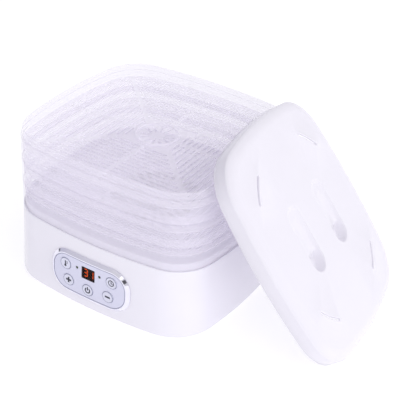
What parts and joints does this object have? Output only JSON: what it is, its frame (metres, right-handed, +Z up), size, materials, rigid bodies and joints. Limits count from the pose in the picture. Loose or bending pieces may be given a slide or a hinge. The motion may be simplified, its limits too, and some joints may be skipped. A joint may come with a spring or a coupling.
{
  "type": "food dehydrator",
  "caption": "Square food dehydrator: a fan-heated base with a keypad, stacked translucent trays with slotted floors, and a lid with finger scoops leaning at its side.",
  "frame": {"origin": "centre of the box around the whole set (unit and leaning lid), on the floor", "axes": "+Z up, the control panel faces -Y, the lid leans on the +X side"},
  "size_m": [0.4258, 0.2884, 0.2271],
  "materials": {
    "white_plastic": "glossy moulded white plastic",
    "frosted_plastic": "translucent frosted plastic, smooth",
    "lid_plastic": "translucent frosted plastic, smooth",
    "bezel_chrome": "mirror plated plastic",
    "fascia_plastic": "satin pearl lavender",
    "button_plastic": "satin pearl lavender with dark printed icons",
    "lens_black": "glossy tinted window",
    "digit_red": "lit segments",
    "lamp_green": "unlit lamp lens",
    "dark_plastic": "matte moulded",
    "board_green": "solder mask",
    "component_blue": "mixed component bodies",
    "steel": "plated steel",
    "copper": "enamelled copper winding",
    "bronze": "sintered bronze",
    "duct_plastic": "heat resistant plastic",
    "mica": "mica sheet",
    "ribbon_steel": "oxidised resistance ribbon",
    "rubber": "soft matte rubber",
    "wire_red": "silicone wire insulation"
  },
  "bodies": {
    "base": {"base_shell": "white_plastic", "bottom_cover": "white_plastic", "rubber_feet": "rubber", "top_deck": "white_plastic", "panel_bezel": "bezel_chrome", "panel_fascia": "fascia_plastic", "display_lens": "lens_black", "display_module": "dark_plastic", "display_digits": "digit_red", "indicator_lamps": "lamp_green", "control_board": "board_green", "tact_switches": "dark_plastic", "power_board": "board_green", "power_components": "component_blue", "motor_bracket": "steel", "motor_can": "steel", "motor_stator": "copper", "motor_bearings": "bronze", "air_duct": "duct_plastic", "heater_frame": "mica", "heater_ribbon": "ribbon_steel", "thermostat": "steel", "thermal_fuse": "steel", "temperature_sensor": "dark_plastic", "terminal_block": "dark_plastic", "cord_gland": "white_plastic", "cord_clamp": "white_plastic", "wire_harness": "wire_red", "base_screws": "steel", "deck_screws": "steel", "bracket_screws": "steel", "board_screws": "steel"},
    "fan": {"fan_impeller": "duct_plastic", "fan_shaft": "steel", "motor_rotor": "steel"},
    "button_temperature": {"button_temperature": "button_plastic"},
    "button_timer": {"button_timer": "button_plastic"},
    "button_plus": {"button_plus": "button_plastic"},
    "button_minus": {"button_minus": "button_plastic"},
    "button_power": {"button_power": "button_plastic"},
    "tray_1": {"tray_1": "frosted_plastic"},
    "tray_2": {"tray_2": "frosted_plastic"},
    "tray_3": {"tray_3": "frosted_plastic"},
    "lid": {"lid": "lid_plastic"}
  },
  "joints": [
    {"name": "fan_spin", "type": "hinge", "parent": "base", "child": "fan", "pos_m": [-0.0758, -0.0108, 0.06], "axis": [0, 0, 1], "continuous": true},
    {"name": "temperature_press", "type": "slide", "parent": "base", "child": "button_temperature", "axis": [0, 0.9995, -0.0326], "range_m": [0, 0.0008], "stiffness_N_per_m": 900},
    {"name": "timer_press", "type": "slide", "parent": "base", "child": "button_timer", "axis": [0, 0.9995, -0.0326], "range_m": [0, 0.0008], "stiffness_N_per_m": 900},
    {"name": "plus_press", "type": "slide", "parent": "base", "child": "button_plus", "axis": [0, 0.9995, -0.0326], "range_m": [0, 0.0008], "stiffness_N_per_m": 900},
    {"name": "minus_press", "type": "slide", "parent": "base", "child": "button_minus", "axis": [0, 0.9995, -0.0326], "range_m": [0, 0.0008], "stiffness_N_per_m": 900},
    {"name": "power_press", "type": "slide", "parent": "base", "child": "button_power", "axis": [0, 0.9995, -0.0326], "range_m": [0, 0.0008], "stiffness_N_per_m": 900},
    {"name": "tray_1_lift", "type": "slide", "parent": "base", "child": "tray_1", "axis": [0, 0, 1], "range_m": [0, 0.07]},
    {"name": "tray_2_lift", "type": "slide", "parent": "tray_1", "child": "tray_2", "axis": [0, 0, 1], "range_m": [0, 0.07]},
    {"name": "tray_3_lift", "type": "slide", "parent": "tray_2", "child": "tray_3", "axis": [0, 0, 1], "range_m": [0, 0.07]},
    {"name": "lid_lift", "type": "slide", "parent": "tray_3", "child": "lid", "axis": [0, 0, 1], "range_m": [0, 0.22]}
  ]
}
